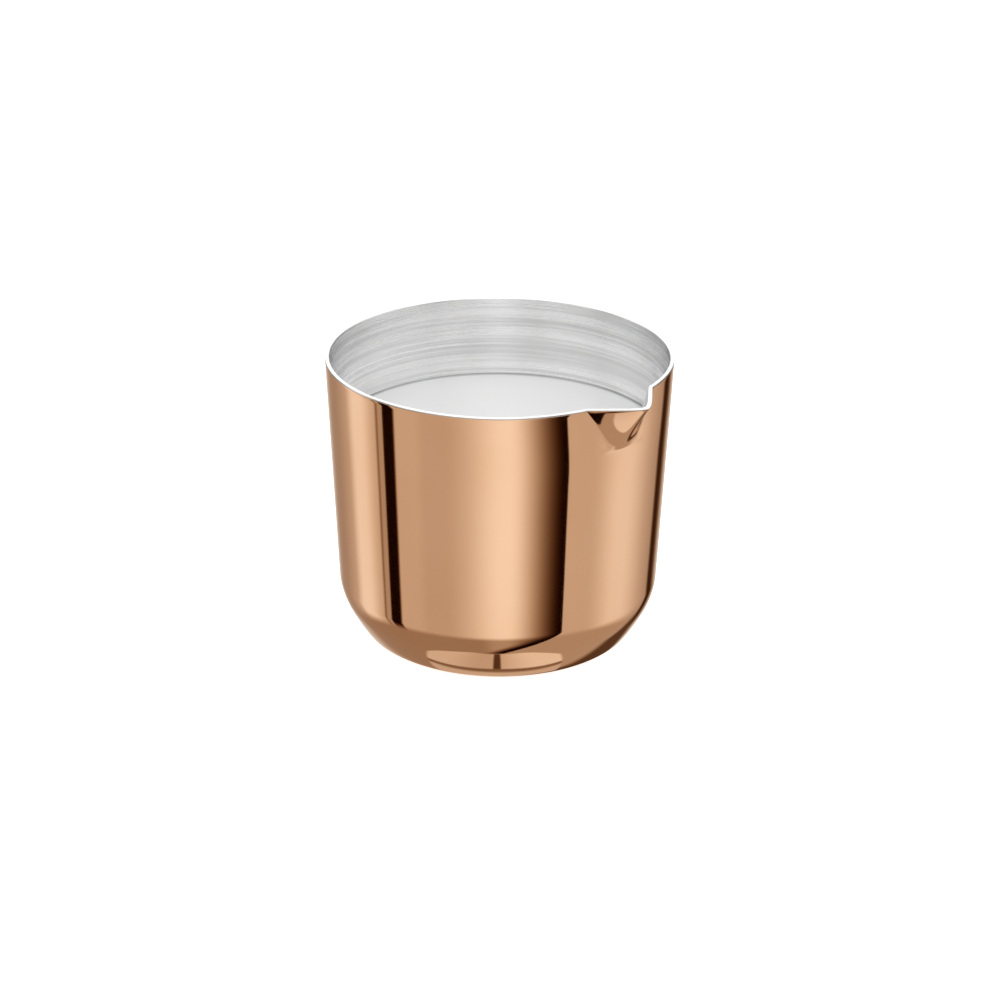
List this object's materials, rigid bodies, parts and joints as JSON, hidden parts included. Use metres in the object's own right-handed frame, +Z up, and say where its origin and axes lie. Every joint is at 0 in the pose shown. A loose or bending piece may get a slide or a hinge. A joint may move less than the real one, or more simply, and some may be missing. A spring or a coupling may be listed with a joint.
{
  "type": "milk jug",
  "caption": "Small handleless milk jug: copper-faced outer cup over a brushed steel liner, rounded bottom edge, flat base and a V-shaped pouring spout pinched into the rim, filled with milk.",
  "frame": {"origin": "centre of the flat base, on the surface that the jug stands on", "axes": "+Z up along the jug's axis, +X towards the pouring spout; the jug is the same on both sides of the XZ plane"},
  "size_m": [0.0972, 0.09, 0.0755],
  "materials": {
    "copper": "mirror-polished copper",
    "steel": "brushed round and round inside, ground rim",
    "milk": "still liquid, slightly glossy"
  },
  "bodies": {
    "root": {"outer_shell": "copper", "inner_liner": "steel", "milk": "milk"}
  },
  "joints": []
}
